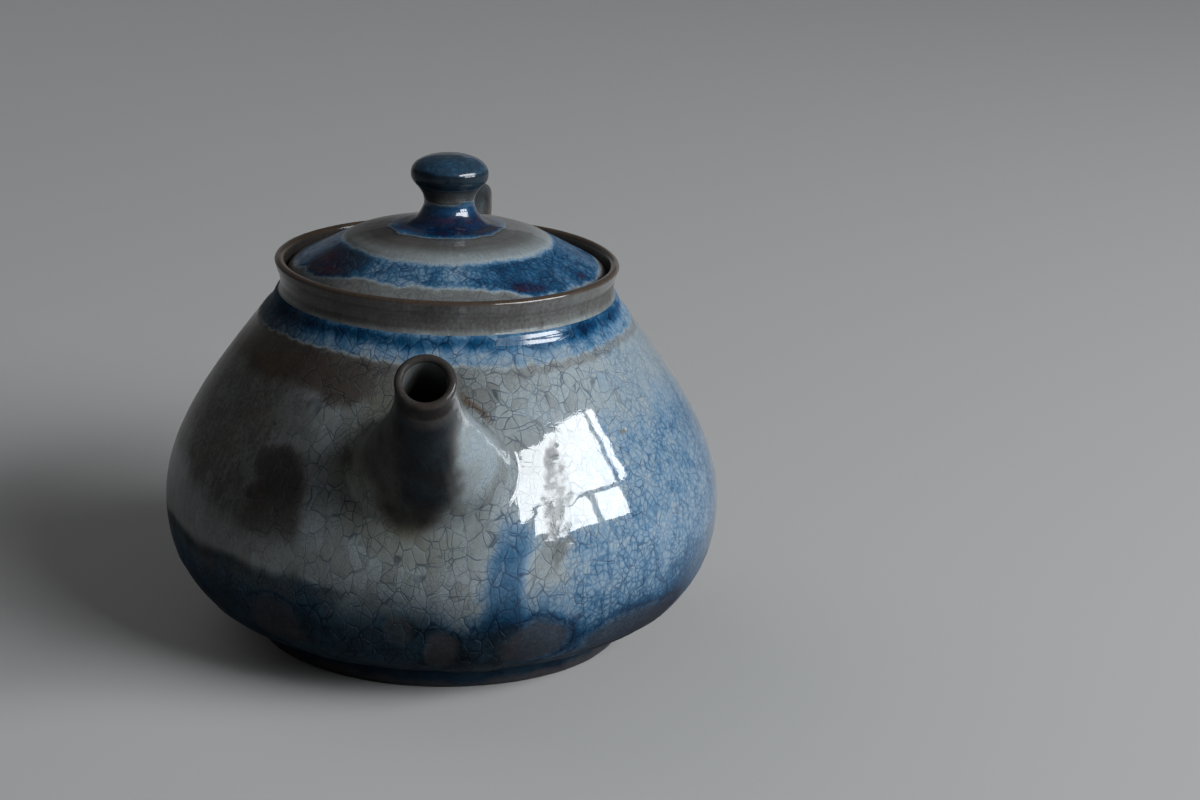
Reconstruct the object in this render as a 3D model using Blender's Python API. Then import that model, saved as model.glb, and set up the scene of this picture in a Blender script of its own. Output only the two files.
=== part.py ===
"""A small round stoneware teapot with a lid.

Frame: +Z up, origin on the pot's turning axis at the plane it stands on, the spout
towards +X and the handle towards -X. Lengths are in metres.

The pot is turned, so most pieces are an outline of (radius, height) points spun round Z.
The spout and the handle are lofted round a centre line and trimmed to the pot's wall.
"""
import math

import bmesh
import bpy
from mathutils import Vector

MM = 0.001
GAP = 0.3 * MM                   # clearance between pieces that rest on or join each other

# Pot wall
BELLY_RADIUS = 55.0 * MM
BELLY_HEIGHT = 27.5 * MM         # of the widest circle
WALL = 3.3 * MM
FOOT_RADIUS = 36.8 * MM
FOOT_HEIGHT = 4.0 * MM
FOOT_WIDTH = 5.5 * MM
SHOULDER_TOP = 69.0 * MM         # where the collar stands on the pot wall
SHOULDER_RADIUS = 33.2 * MM
MOUTH_RADIUS = 27.6 * MM         # the opening that the lid's flange drops into
FLOOR_THICKNESS = 3.6 * MM

# Collar, the upright band that the lid sits inside
COLLAR_TOP = 75.5 * MM
COLLAR_NECK_RADIUS = 32.5 * MM
COLLAR_NECK_HEIGHT = 70.6 * MM
COLLAR_TOP_RADIUS = 33.6 * MM
COLLAR_WALL = 1.9 * MM
LEDGE_HEIGHT = 71.2 * MM         # the seat inside the collar that carries the lid

# Lid
LID_RADIUS = 31.2 * MM
LID_UNDERSIDE = LEDGE_HEIGHT + GAP
LID_EDGE_TOP = 73.7 * MM
LID_BREAK_RADIUS = 19.6 * MM     # the soft edge between the lid's steep and flat parts
LID_BREAK_HEIGHT = 79.7 * MM
LID_THICKNESS = 3.0 * MM
FLANGE_RADIUS = MOUTH_RADIUS - 0.7 * MM
FLANGE_WALL = 2.3 * MM
FLANGE_DEPTH = 5.7 * MM
VENT_RADIUS = 1.1 * MM
VENT_PLACE = -9.0 * MM           # behind the knob, as seen from the spout

# Knob
KNOB_BASE = 83.6 * MM
KNOB_BASE_RADIUS = 5.6 * MM
KNOB_NECK_RADIUS = 4.8 * MM
KNOB_NECK_HEIGHT = 86.6 * MM
KNOB_CAP_RADIUS = 7.6 * MM
KNOB_CAP_HEIGHT = 92.4 * MM      # of the cap's widest circle
KNOB_TOP = 96.0 * MM

# Spout: a straight centre line that ends at the tip
SPOUT_TIP = Vector((75.0 * MM, 0, 73.0 * MM))
SPOUT_RISE = math.radians(43.4)
SPOUT_LENGTH = 50.0 * MM         # to a point well inside the pot, where the pot wall trims it
SPOUT_TIP_RADIUS = 5.4 * MM
SPOUT_TIP_BORE = 3.9 * MM
SPOUT_FLARE_LENGTH = 36.0 * MM   # from the tip to where the flares below are complete
SPOUT_SIDE_FLARE = 9.2 * MM
SPOUT_TOP_FLARE = 7.0 * MM
SPOUT_BORE_FLARE = 4.6 * MM
SPOUT_FLARE_POWER = 2.1          # how late along the spout the flares grow
SPOUT_HOLE_RADIUS = 8.5 * MM     # through the pot wall

# Strainer: a pierced dome over the spout hole, inside the pot
STRAINER_RADIUS = 11.0 * MM
STRAINER_WALL = 1.6 * MM
STRAINER_DEPTH = 40.0 * MM       # from the spout's tip back to the dome's centre
STRAINER_HOLE_RADIUS = 1.1 * MM
STRAINER_RINGS = ((0, 1), (29, 6), (57, 12))   # (degrees off the dome's axis, holes)

# Handle: a flat strap bent into an ear behind the pot
HANDLE_WIDTH = 12.6 * MM
HANDLE_THICKNESS = 5.8 * MM
HANDLE_LINE = (                  # (x, z) control points of two Bezier curves that meet at the back
    ((-32.0 * MM, 57.0 * MM), (-47.0 * MM, 73.5 * MM), (-75.4 * MM, 82.5 * MM), (-75.4 * MM, 59.5 * MM)),
    ((-75.4 * MM, 59.5 * MM), (-75.4 * MM, 47.5 * MM), (-60.0 * MM, 42.0 * MM), (-47.0 * MM, 28.0 * MM)),
)

TURNED_SEGMENTS = 48
SMALL_SEGMENTS = 24
SMOOTH_ANGLE = math.radians(40)


def clear_scene():
    for old in list(bpy.data.objects):
        bpy.data.objects.remove(old, do_unlink=True)


def glaze(name, colour, roughness):
    """A material for one finish of the fired clay."""
    made = bpy.data.materials.new(name)
    made.use_nodes = True
    surface = made.node_tree.nodes["Principled BSDF"]
    surface.inputs["Base Color"].default_value = (*colour, 1.0)
    surface.inputs["Roughness"].default_value = roughness
    surface.inputs["Metallic"].default_value = 0.0
    made.diffuse_color = (*colour, 1.0)
    return made


def new_object(name, bm, finish=None):
    """A named object from a bmesh; with no finish it is a cutter, which isn't rendered."""
    bmesh.ops.recalc_face_normals(bm, faces=bm.faces)
    mesh = bpy.data.meshes.new(name)
    bm.to_mesh(mesh)
    bm.free()
    made = bpy.data.objects.new(name, mesh)
    bpy.context.scene.collection.objects.link(made)
    if finish is None:
        made.hide_render = True
        made.display_type = "WIRE"
    else:
        mesh.materials.append(finish)
        mesh.shade_smooth()
        mesh.set_sharp_from_angle(angle=SMOOTH_ANGLE)
    return made


def boolean(target, operation, other):
    cut = target.modifiers.new(f"{operation.lower()} {other.name}", "BOOLEAN")
    cut.operation = operation
    cut.solver = "EXACT"
    cut.object = other


def bezier(p0, p1, p2, p3, steps):
    """Points of a cubic Bezier curve, both ends included."""
    points = []
    for i in range(steps + 1):
        t = i / steps
        u = 1 - t
        weights = (u * u * u, 3 * u * u * t, 3 * u * t * t, t * t * t)
        points.append(tuple(sum(w * p[k] for w, p in zip(weights, (p0, p1, p2, p3))) for k in (0, 1)))
    return points


def arc(centre, radii, start, end, steps):
    """Points of an elliptical arc, from start to end in degrees."""
    turns = (math.radians(start + (end - start) * i / steps) for i in range(steps + 1))
    return [(centre[0] + radii[0] * math.cos(a), centre[1] + radii[1] * math.sin(a)) for a in turns]


def offset(outline, distance):
    """The outline moved sideways, to the left of its own direction."""
    moved = []
    for i, (x, z) in enumerate(outline):
        x0, z0 = outline[max(i - 1, 0)]
        x1, z1 = outline[min(i + 1, len(outline) - 1)]
        length = math.hypot(x1 - x0, z1 - z0)
        moved.append((x - (z1 - z0) / length * distance, z + (x1 - x0) / length * distance))
    return moved


def turned(name, outline, finish=None, closed=False, segments=TURNED_SEGMENTS):
    """Spins (radius, height) points round Z. An open outline starts and ends on the axis."""
    bm = bmesh.new()
    verts = [bm.verts.new((r, 0, z)) for r, z in outline]
    pairs = list(zip(verts, verts[1:]))
    if closed:
        pairs.append((verts[-1], verts[0]))
    edges = [bm.edges.new(pair) for pair in pairs]
    bmesh.ops.spin(bm, geom=verts + edges, cent=(0, 0, 0), axis=(0, 0, 1), angle=math.tau,
                   steps=segments, use_merge=True, use_duplicate=False)
    bmesh.ops.remove_doubles(bm, verts=bm.verts, dist=1e-6)
    return new_object(name, bm, finish)


def loft(name, rings, finish=None, hollow=False):
    """Joins rings of points by quads; hollow closes the last ring on the first, else the ends are capped."""
    bm = bmesh.new()
    rows = [[bm.verts.new(p) for p in ring] for ring in rings]
    count = len(rows[0])
    joins = list(zip(rows, rows[1:]))
    if hollow:
        joins.append((rows[-1], rows[0]))
    for a, b in joins:
        for i in range(count):
            j = (i + 1) % count
            bm.faces.new((a[i], a[j], b[j], b[i]))
    if not hollow:
        bm.faces.new(rows[0])
        bm.faces.new(list(reversed(rows[-1])))
    return new_object(name, bm, finish)


def ring_about(centre, side, up, half_side, half_up, count):
    """Points of an ellipse in the plane of side and up."""
    turns = [math.tau * i / count for i in range(count)]
    return [centre + side * (half_side * math.cos(a)) + up * (half_up * math.sin(a)) for a in turns]


def wall_outline():
    """The outside of the pot wall, from beside the foot up to the collar."""
    belly = (BELLY_RADIUS, BELLY_HEIGHT)
    lower = bezier((FOOT_RADIUS + 1.2 * MM, FOOT_HEIGHT + GAP), (48.0 * MM, 7.0 * MM),
                   (BELLY_RADIUS, 14.5 * MM), belly, 9)
    upper = bezier(belly, (BELLY_RADIUS, 41.0 * MM), (44.5 * MM, 53.5 * MM),
                   (SHOULDER_RADIUS, SHOULDER_TOP), 12)
    return lower + upper[1:]


def cavity_outline(shrink=0.0):
    """The inside of the pot wall, from the floor's centre to the mouth."""
    inside = [p for p in offset(wall_outline(), WALL + shrink)
              if FOOT_HEIGHT + FLOOR_THICKNESS + 2.5 * MM < p[1] < SHOULDER_TOP - 6.0 * MM]
    floor = FOOT_HEIGHT + GAP + FLOOR_THICKNESS + shrink
    return [(0.0, floor), (26.0 * MM, floor), (36.5 * MM, floor + 1.0 * MM)] + inside


def pot_body(finish):
    underside = FOOT_HEIGHT + GAP
    lip = [(SHOULDER_RADIUS, SHOULDER_TOP), (MOUTH_RADIUS, SHOULDER_TOP),
           (MOUTH_RADIUS, SHOULDER_TOP - 3.2 * MM)]
    outline = [(0.0, underside)] + wall_outline()[:-1] + lip + cavity_outline()[::-1]
    body = turned("pot_body", outline, finish)
    along = spout_direction()
    side = Vector((0, 1, 0))
    up = along.cross(side)
    ends = [SPOUT_TIP - along * d for d in (SPOUT_LENGTH, SPOUT_LENGTH - 30.0 * MM)]
    rings = [ring_about(e, side, up, SPOUT_HOLE_RADIUS, SPOUT_HOLE_RADIUS, SMALL_SEGMENTS) for e in ends]
    boolean(body, "DIFFERENCE", loft("spout_hole_cutter", rings))
    return body


def pot_envelope():
    """The pot's outside grown by the gap: what trims the spout and the handle."""
    grown = offset(wall_outline(), -GAP)
    top = COLLAR_TOP
    outline = [(0.0, 0.0), (FOOT_RADIUS, 0.0)] + grown + [(SHOULDER_RADIUS, top), (0.0, top)]
    return turned("pot_envelope", outline)


def foot_ring(finish):
    inner = FOOT_RADIUS - FOOT_WIDTH
    top = FOOT_HEIGHT
    outline = [(inner + 0.6 * MM, 0.0), (FOOT_RADIUS - 0.9 * MM, 0.0), (FOOT_RADIUS, 0.9 * MM),
               (FOOT_RADIUS + 0.3 * MM, top - 0.6 * MM), (FOOT_RADIUS + 0.9 * MM, top),
               (inner - 1.2 * MM, top), (inner, 0.8 * MM)]
    return turned("foot_ring", outline, finish, closed=True)


def rim_collar(finish):
    foot = SHOULDER_TOP + GAP
    inner = COLLAR_TOP_RADIUS - COLLAR_WALL
    rim = arc((COLLAR_TOP_RADIUS - COLLAR_WALL / 2, COLLAR_TOP - 0.6 * MM),
              (COLLAR_WALL / 2, 0.6 * MM), 0, 180, 4)
    outline = [(MOUTH_RADIUS, foot), (SHOULDER_RADIUS - 0.1 * MM, foot),
               (COLLAR_NECK_RADIUS, COLLAR_NECK_HEIGHT),
               (COLLAR_NECK_RADIUS + 0.5 * MM, COLLAR_NECK_HEIGHT + 2.2 * MM)]
    outline += rim + [(inner, LEDGE_HEIGHT), (MOUTH_RADIUS, LEDGE_HEIGHT)]
    return turned("rim_collar", outline, finish, closed=True)


def lid_crown():
    """The lid's upper surface, from its edge in to the knob's foot."""
    edge = arc((LID_RADIUS - 0.8 * MM, LID_EDGE_TOP - 0.8 * MM), (0.8 * MM, 0.8 * MM), 0, 70, 3)
    slope = bezier((30.6 * MM, 73.9 * MM), (27.0 * MM, 75.7 * MM), (23.5 * MM, 77.4 * MM),
                   (LID_BREAK_RADIUS, LID_BREAK_HEIGHT), 5)
    crown = bezier((LID_BREAK_RADIUS, LID_BREAK_HEIGHT), (15.0 * MM, 81.6 * MM),
                   (8.0 * MM, 81.8 * MM), (KNOB_BASE_RADIUS, KNOB_BASE - GAP), 6)
    return edge + slope[1:] + crown[1:]


def lid_plate(finish):
    flange_inner = FLANGE_RADIUS - FLANGE_WALL
    under = [(0.0, 79.6 * MM), (10.0 * MM, 79.2 * MM), (18.5 * MM, 76.6 * MM),
             (flange_inner - 1.2 * MM, 74.0 * MM), (flange_inner, LID_UNDERSIDE),
             (LID_RADIUS - 0.4 * MM, LID_UNDERSIDE), (LID_RADIUS, LID_UNDERSIDE + 0.4 * MM)]
    outline = under + lid_crown() + [(0.0, KNOB_BASE - GAP)]
    plate = turned("lid_plate", outline, finish)
    side, up = Vector((1, 0, 0)), Vector((0, 1, 0))
    ends = [Vector((VENT_PLACE, 0, z)) for z in (76.0 * MM, 86.0 * MM)]
    rings = [ring_about(e, side, up, VENT_RADIUS, VENT_RADIUS, 12) for e in ends]
    boolean(plate, "DIFFERENCE", loft("vent_cutter", rings))
    return plate


def lid_flange(finish):
    top = LID_UNDERSIDE - GAP
    bottom = top - FLANGE_DEPTH
    inner = FLANGE_RADIUS - FLANGE_WALL
    outline = [(inner, top), (inner + 0.3 * MM, bottom + 0.7 * MM), (inner + 0.9 * MM, bottom),
               (FLANGE_RADIUS - 1.0 * MM, bottom), (FLANGE_RADIUS - 0.4 * MM, bottom + 0.8 * MM),
               (FLANGE_RADIUS, top)]
    return turned("lid_flange", outline, finish, closed=True)


def lid_knob(finish):
    stem = bezier((KNOB_BASE_RADIUS, KNOB_BASE), (KNOB_NECK_RADIUS, KNOB_BASE + 1.4 * MM),
                  (KNOB_NECK_RADIUS - 0.1 * MM, KNOB_NECK_HEIGHT + 1.2 * MM), (6.3 * MM, 89.6 * MM), 7)
    cap = arc((0.0, KNOB_CAP_HEIGHT), (KNOB_CAP_RADIUS, KNOB_TOP - KNOB_CAP_HEIGHT), -22, 90, 8)
    outline = [(0.0, KNOB_BASE)] + stem + cap[:-1] + [(0.0, KNOB_TOP)]
    return turned("lid_knob", outline, finish, segments=SMALL_SEGMENTS)


def spout_direction():
    return Vector((math.cos(SPOUT_RISE), 0, math.sin(SPOUT_RISE)))


def spout(finish, envelope):
    along = spout_direction()
    side = Vector((0, 1, 0))
    up = along.cross(side)

    def ring(depth, radius, side_growth=0.0, top_growth=0.0):
        share = min(depth / SPOUT_FLARE_LENGTH, 1.0) ** SPOUT_FLARE_POWER
        return ring_about(SPOUT_TIP - along * depth, side, up, radius + side_growth * share,
                          radius + top_growth * share, SMALL_SEGMENTS)

    depths = [d * MM for d in (50, 36, 32.5, 28.5, 24, 19, 13, 7, 2)]
    outer = [ring(d, SPOUT_TIP_RADIUS - 0.1 * MM, SPOUT_SIDE_FLARE, SPOUT_TOP_FLARE) for d in depths]
    lip = [ring(0.7 * MM, SPOUT_TIP_RADIUS), ring(0.0, SPOUT_TIP_RADIUS - 0.5 * MM),
           ring(0.0, SPOUT_TIP_BORE + 0.3 * MM), ring(0.6 * MM, SPOUT_TIP_BORE)]
    inner = [ring(d, SPOUT_TIP_BORE, SPOUT_BORE_FLARE, SPOUT_BORE_FLARE) for d in depths[-2::-1]]
    made = loft("spout", outer + lip + inner, finish, hollow=True)
    boolean(made, "DIFFERENCE", envelope)
    return made


def spout_strainer(finish):
    centre = SPOUT_TIP - spout_direction() * STRAINER_DEPTH
    inward = -spout_direction()
    side = Vector((0, 1, 0))
    up = inward.cross(side)

    def towards(tilt, turn):
        return inward * math.cos(tilt) + (side * math.cos(turn) + up * math.sin(turn)) * math.sin(tilt)

    def dome(name, radius, bulge_finish=None):
        bm = bmesh.new()
        bmesh.ops.create_uvsphere(bm, u_segments=SMALL_SEGMENTS, v_segments=12, radius=radius)
        bmesh.ops.translate(bm, verts=bm.verts, vec=centre)
        return new_object(name, bm, bulge_finish)

    made = dome("spout_strainer", STRAINER_RADIUS, finish)
    boolean(made, "DIFFERENCE", dome("strainer_hollow", STRAINER_RADIUS - STRAINER_WALL))
    cavity = cavity_outline(shrink=GAP)
    outline = cavity + [(MOUTH_RADIUS, SHOULDER_TOP - 4.0 * MM), (0.0, SHOULDER_TOP - 4.0 * MM)]
    boolean(made, "INTERSECT", turned("cavity_envelope", outline))
    holes = bmesh.new()
    for tilt, count in STRAINER_RINGS:
        for i in range(count):
            out = towards(math.radians(tilt), math.tau * (i + 0.5) / count)
            across = out.orthogonal().normalized()
            around = out.cross(across)
            rows = [[holes.verts.new(p) for p in ring_about(centre + out * reach, across, around,
                                                            STRAINER_HOLE_RADIUS, STRAINER_HOLE_RADIUS, 8)]
                    for reach in (STRAINER_RADIUS - 4.0 * MM, STRAINER_RADIUS + 2.0 * MM)]
            for k in range(8):
                n = (k + 1) % 8
                holes.faces.new((rows[0][k], rows[0][n], rows[1][n], rows[1][k]))
            holes.faces.new(rows[0])
            holes.faces.new(list(reversed(rows[1])))
    boolean(made, "DIFFERENCE", new_object("strainer_holes", holes))
    return made


def handle(finish, envelope):
    first = bezier(*HANDLE_LINE[0], 14)
    line = first + bezier(*HANDLE_LINE[1], 12)[1:]
    side = Vector((0, 1, 0))
    rings = []
    for i, (x, z) in enumerate(line):
        x0, z0 = line[max(i - 1, 0)]
        x1, z1 = line[min(i + 1, len(line) - 1)]
        along = Vector((x1 - x0, 0, z1 - z0)).normalized()
        share = i / (len(line) - 1)
        swell = 1 + 0.30 * abs(2 * share - 1) ** 4
        rings.append(ring_about(Vector((x, 0, z)), side, along.cross(side),
                                HANDLE_WIDTH / 2 * (1.02 - 0.14 * share) * swell,
                                HANDLE_THICKNESS / 2 * swell, 16))
    made = loft("handle", rings, finish)
    boolean(made, "DIFFERENCE", envelope)
    return made


def main():
    clear_scene()
    blue = glaze("blue_crackle_glaze", (0.20, 0.32, 0.42), 0.12)
    grey = glaze("grey_celadon_glaze", (0.30, 0.29, 0.27), 0.2)
    clay = glaze("bare_stoneware", (0.22, 0.15, 0.11), 0.8)
    envelope = pot_envelope()
    pot_body(blue)
    foot_ring(clay)
    rim_collar(grey)
    spout(blue, envelope)
    spout_strainer(grey)
    handle(grey, envelope)
    lid_plate(blue)
    lid_flange(clay)
    lid_knob(blue)


main()
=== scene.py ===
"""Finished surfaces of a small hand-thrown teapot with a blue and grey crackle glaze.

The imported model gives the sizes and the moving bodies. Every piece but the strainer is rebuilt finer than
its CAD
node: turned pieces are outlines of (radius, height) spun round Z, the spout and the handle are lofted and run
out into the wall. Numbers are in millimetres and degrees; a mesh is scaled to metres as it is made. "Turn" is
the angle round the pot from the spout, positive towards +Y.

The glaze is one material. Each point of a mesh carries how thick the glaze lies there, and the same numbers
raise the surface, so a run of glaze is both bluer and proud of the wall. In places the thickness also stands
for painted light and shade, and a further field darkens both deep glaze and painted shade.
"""

import functools
import math

import bmesh
import bpy
import numpy as np
from mathutils import Matrix, Vector


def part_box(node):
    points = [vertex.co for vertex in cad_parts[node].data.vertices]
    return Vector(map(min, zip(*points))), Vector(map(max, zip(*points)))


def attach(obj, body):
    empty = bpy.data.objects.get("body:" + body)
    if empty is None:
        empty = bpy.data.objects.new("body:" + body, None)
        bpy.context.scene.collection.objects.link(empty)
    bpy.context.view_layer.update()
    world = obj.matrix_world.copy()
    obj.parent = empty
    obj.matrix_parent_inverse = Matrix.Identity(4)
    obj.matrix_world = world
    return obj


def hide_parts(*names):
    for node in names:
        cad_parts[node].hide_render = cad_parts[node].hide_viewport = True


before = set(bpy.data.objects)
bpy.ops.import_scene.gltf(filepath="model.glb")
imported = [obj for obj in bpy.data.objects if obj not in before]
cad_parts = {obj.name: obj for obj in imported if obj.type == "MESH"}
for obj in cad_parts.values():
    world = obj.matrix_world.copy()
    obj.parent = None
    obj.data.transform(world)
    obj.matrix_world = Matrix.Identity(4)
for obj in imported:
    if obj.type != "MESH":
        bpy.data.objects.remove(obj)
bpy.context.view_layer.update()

MM = 0.001


def node_mm(name):
    """(lowest, highest) corner of a CAD node in millimetres."""
    low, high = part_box(name)
    return np.array(low) / MM, np.array(high) / MM


# ---------------------------------------------------------------- sizes that come from the CAD
wall_low, wall_high = node_mm("pot_body")
collar_high = node_mm("rim_collar")[1]
plate_low, plate_high = node_mm("lid_plate")
flange_low = node_mm("lid_flange")[0]
knob_high = node_mm("lid_knob")[1]
foot_high = node_mm("foot_ring")[1]

BELLY_RADIUS = wall_high[1]
WALL_BOTTOM = wall_low[2]
WALL_TOP = wall_high[2]
COLLAR_TOP = collar_high[2]
COLLAR_RADIUS = collar_high[1]
LID_RADIUS = plate_high[1]
LID_UNDERSIDE = plate_low[2]
KNOB_TOP = knob_high[2]
KNOB_RADIUS = knob_high[1]
FOOT_FLARE = 0.9                 # how much wider the foot is where it meets the wall
FOOT_RADIUS = foot_high[1] - FOOT_FLARE

# ---------------------------------------------------------------- other sizes, as in the CAD
BELLY_HEIGHT = 27.5
WALL = 3.3
SHOULDER_RADIUS = 33.2
MOUTH_RADIUS = 27.6
LEDGE_HEIGHT = 71.2
LID_BREAK = (19.6, 79.7)
FLANGE_RADIUS = 26.9
FLANGE_WALL = 2.3
SPOUT_TIP = np.array([75.0, 0.0, 73.0])
SPOUT_RISE = math.radians(43.4)
SPOUT_WAY = np.array([math.cos(SPOUT_RISE), 0.0, math.sin(SPOUT_RISE)])
SPOUT_RADIUS = 5.4
SPOUT_BORE = 3.9
BORE_DEPTH = 38.5                # from the tip to the bore's end inside the wall
SPOUT_FREE = 17.0                # from the tip to where the tube starts to spread onto the wall
SPOUT_FLARE = 1.9                # how much wider the tube is there
SPOUT_ROOT_DEPTH = 37.0
HANDLE_LINE = (
    ((-32.0, 57.0), (-47.0, 73.5), (-75.4, 82.5), (-75.4, 59.5)),
    ((-75.4, 59.5), (-75.4, 47.5), (-60.0, 42.0), (-47.0, 28.0)),
)
HANDLE_WIDTH = 12.6
HANDLE_THICKNESS = 5.8
VENT_PLACE, VENT_RADIUS = -9.0, 1.1       # a small hole through the lid behind the knob
VENT_SPAN = (74.0, 90.0)

FINE = 0.45                      # spacing of a mesh's points where the glaze shows
COARSE = 1.3                     # and where it doesn't


# ---------------------------------------------------------------- small mathematics
def ramp(x, start, end):
    """0 before start, 1 after end, smooth between; start may be the larger."""
    t = np.clip((x - start) / (end - start), 0, 1)
    return t * t * (3 - 2 * t)


def band(x, low, high, soft):
    """1 between low and high, fading to 0 over soft on both sides."""
    return ramp(x, low - soft, low) * (1 - ramp(x, high, high + soft))


def mix(a, b, share):
    return a + (b - a) * share


def turn_from(turn, centre):
    """The turn from centre, from -180 to 180 degrees."""
    return (turn - centre + 180) % 360 - 180


def apart(turn, centre):
    """How many degrees lie between the turn and centre, either way."""
    return np.abs(turn_from(turn, centre))


def hump(x, centre, half):
    """1 at centre, fading on both sides like a bell."""
    return np.exp(-((x - centre) / half) ** 2)


def highest(*values):
    return functools.reduce(np.maximum, values)


def noise(points, size, seed):
    """Smooth noise from 0 to 1, in lumps about size across."""
    q = np.asarray(points) / size + seed * 7.31
    cell = np.floor(q).astype(np.int64)
    t = q - cell
    t = t * t * t * (t * (t * 6 - 15) + 10)
    total = np.zeros(q.shape[:-1])
    for corner in range(8):
        step = np.array([corner & 1, corner >> 1 & 1, corner >> 2 & 1])
        c = cell + step
        mixed = (c[..., 0] * 73856093) ^ (c[..., 1] * 19349663) ^ (c[..., 2] * 83492791) ^ (seed * 40503)
        mixed = (mixed * 1103515245 + 12345) & 0x7FFFFFFF
        mixed = ((mixed ^ (mixed >> 13)) * 1274126177) & 0x7FFFFFFF
        value = (mixed >> 7 & 0xFFFF) / 0xFFFF
        total += value * np.prod(np.where(step, t, 1 - t), axis=-1)
    return total


def rough_noise(points, size, seed, octaves=3):
    """Noise with finer and fainter lumps added, centred on 0, from about -1 to 1."""
    total, weight = 0.0, 0.0
    for octave in range(octaves):
        share = 0.5 ** octave
        total = total + share * (noise(points, size * share, seed + octave) * 2 - 1)
        weight += share
    return total / weight * 1.5


def cubic(t, p0, p1, p2, p3):
    """The point a share t along a cubic curve."""
    return (1 - t) ** 3 * p0 + 3 * (1 - t) ** 2 * t * p1 + 3 * (1 - t) * t * t * p2 + t ** 3 * p3


def bezier(p0, p1, p2, p3, steps):
    t = np.linspace(0, 1, steps + 1)[:, None]
    return cubic(t, *(np.array(p, float) for p in (p0, p1, p2, p3)))


def angles_round(count):
    return np.arange(count) * 2 * math.pi / count


def arc(centre, radii, start, end, steps):
    a = np.radians(np.linspace(start, end, steps + 1))
    return np.stack([centre[0] + radii[0] * np.cos(a), centre[1] + radii[1] * np.sin(a)], -1)


def along_line(line):
    """Distance from the line's start to each of its points."""
    return np.r_[0, np.cumsum(np.linalg.norm(np.diff(line, axis=0), axis=1))]


def respace(line, spacing):
    """The same line with its points evenly spaced."""
    line = np.array(line, float)
    done = along_line(line)
    places = np.linspace(0, done[-1], max(2, round(done[-1] / spacing) + 1))
    return np.stack([np.interp(places, done, line[:, k]) for k in range(line.shape[1])], -1)


def joined(*parts):
    """Lines end to end, each given as (points, spacing)."""
    lines = [respace(points, spacing) for points, spacing in parts]
    return np.vstack([lines[0]] + [line[1:] for line in lines[1:]])


def offset(line, distance):
    """The line moved sideways, to the left of its direction."""
    way = np.gradient(line, axis=0)
    way /= np.linalg.norm(way, axis=1)[:, None]
    return line + np.stack([-way[:, 1], way[:, 0]], -1) * distance


# ---------------------------------------------------------------- the wall's shape
def wall_outline():
    """The outside of the wall, bottom to top, with its fine spacing."""
    belly = (BELLY_RADIUS, BELLY_HEIGHT)
    lower = bezier((FOOT_RADIUS + 1.2, WALL_BOTTOM), (48.0, 7.0), (BELLY_RADIUS, 14.5), belly, 500)
    upper = bezier(belly, (BELLY_RADIUS, 41.0), (44.5, 53.5), (SHOULDER_RADIUS, WALL_TOP), 700)
    return respace(np.vstack([lower, upper[1:]]), FINE)


WALL_LINE = wall_outline()
WALL_DONE = along_line(WALL_LINE)
CLOSE_LINE = respace(WALL_LINE, 0.02)
CLOSE_DONE = along_line(CLOSE_LINE)


def on_wall(turn, done):
    """Points of the plain wall at a turn (degrees) and a distance up its outline."""
    radius = np.interp(done, WALL_DONE, WALL_LINE[:, 0])
    height = np.interp(done, WALL_DONE, WALL_LINE[:, 1])
    a = np.radians(turn)
    return np.stack([radius * np.cos(a), radius * np.sin(a), height], -1)


def done_at(height):
    """The distance up the outline to a height."""
    return float(np.interp(height, WALL_LINE[:, 1], WALL_DONE))


def turn_of(points):
    return np.degrees(np.arctan2(points[..., 1], points[..., 0]))


def radius_of(points):
    return np.hypot(points[..., 0], points[..., 1])


def arc_length(turn, radius):
    return turn * np.pi / 180 * radius


def clearance(points):
    """How far points lie outside the plain wall at their own heights."""
    return radius_of(points) - np.interp(points[..., 2], WALL_LINE[:, 1], WALL_LINE[:, 0])


# ---------------------------------------------------------------- the glaze on the wall
# Runs of thick glaze: (turn at the top, turn at the foot, top height, width at the top, width at the foot,
# how thick)
RUNS = (
    (20.0, 10.5, 47.0, 3.4, 5.6, 0.25),
    (-26.0, -24.0, 40.0, 2.6, 4.0, 0.10),
    (62.0, 58.0, 30.0, 5.0, 8.0, 0.10),
    (104.0, 101.0, 52.0, 3.0, 6.0, 0.22),
    (148.0, 150.0, 44.0, 4.0, 6.5, 0.20),
    (-152.0, -149.0, 50.0, 3.0, 6.0, 0.22),
    (-112.0, -114.0, 38.0, 3.5, 6.0, 0.16),
)
# Fingerprints that took the glaze off: (turn, height, half width, half height in mm, how bare)
PRINTS = (
    (3.2, 13.5, 3.2, 4.6, 1.0),
    (22.0, 14.2, 6.8, 5.4, 0.95),
    (49.0, 11.5, 12.5, 5.8, 0.85),
    (-33.0, 16.0, 7.0, 5.2, 0.95),
    (-5.5, 18.5, 2.8, 3.4, 0.55),
    (92.0, 13.0, 7.0, 5.0, 0.9),
    (128.0, 15.0, 4.5, 5.5, 0.9),
    (171.0, 12.0, 8.0, 5.0, 0.9),
    (-140.0, 14.0, 6.5, 5.6, 0.9),
    (-98.0, 12.5, 5.0, 4.4, 0.9),
    (-66.0, 12.5, 8.5, 5.0, 0.85),
)
# A rough, dragged scar in the glaze: (turn and height of its top, turn and height of its foot, half width)
SCAR = (28.0, 51.0, 25.5, 31.0, 2.1)
# The arch-shaped thin place left of the spout: turn, the height of its top, its half width
ARCH = (-34.6, 48.5, 6.6)


def runs_of_glaze(points, drift, ripple):
    """The extra thickness that the runs give."""
    turn, radius, height = turn_of(points), radius_of(points), points[..., 2]
    extra = np.zeros_like(turn)
    for top_turn, foot_turn, top, top_width, foot_width, amount in RUNS:
        down = np.clip((top - height) / top, 0, 1)
        middle = mix(top_turn, foot_turn, down) + 1.6 * drift
        width = mix(top_width, foot_width, down) * (1 + 0.25 * ripple)
        across = arc_length(apart(turn, middle), radius)
        extra = extra + amount * np.exp(-(across / width) ** 4 * 0.9) * ramp(height, top, top - 14)
    return extra


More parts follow.
